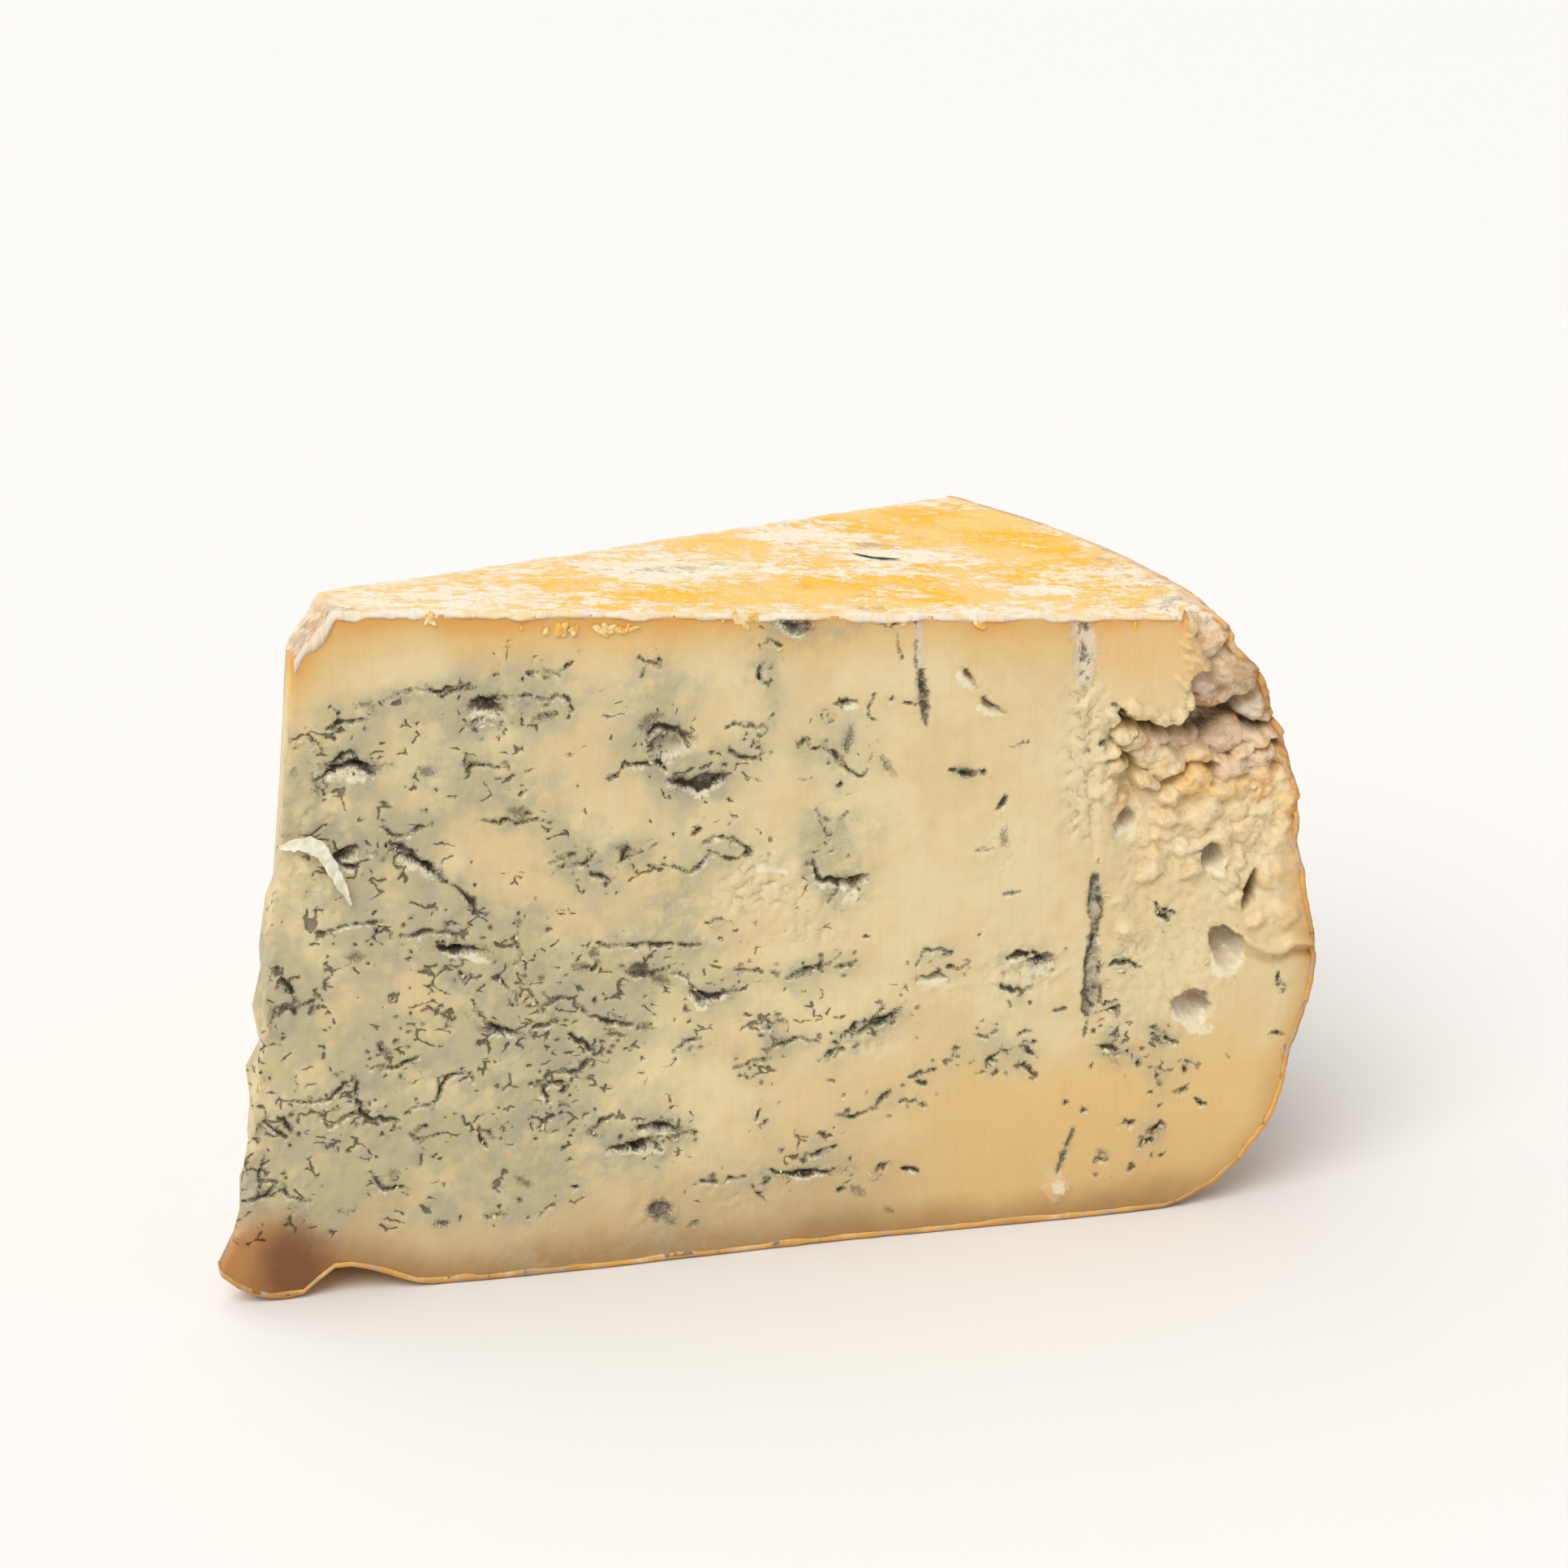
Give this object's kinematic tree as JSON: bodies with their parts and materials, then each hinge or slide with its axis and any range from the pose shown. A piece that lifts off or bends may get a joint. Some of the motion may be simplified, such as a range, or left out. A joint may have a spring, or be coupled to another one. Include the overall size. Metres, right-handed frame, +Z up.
{
  "type": "blue cheese wedge",
  "caption": "Wedge of natural-rind blue cheese, cut from a domed wheel, with veined cut faces, needle channels and a crumbled hollow beside the rim.",
  "frame": {"origin": "on the surface the wedge stands on, under the centre of its bounding box", "axes": "+X along the front cut face from the blunt tip to the rind of the rim, +Y from the front cut face to the back one, +Z up"},
  "size_m": [0.1728, 0.0862, 0.1076],
  "materials": {
    "paste": "moist, smooth cut cheese paste with blue-green veins",
    "rind": "dry, floury natural rind, white with orange patches"
  },
  "bodies": {
    "root": {"cheese": "paste"}
  },
  "joints": []
}
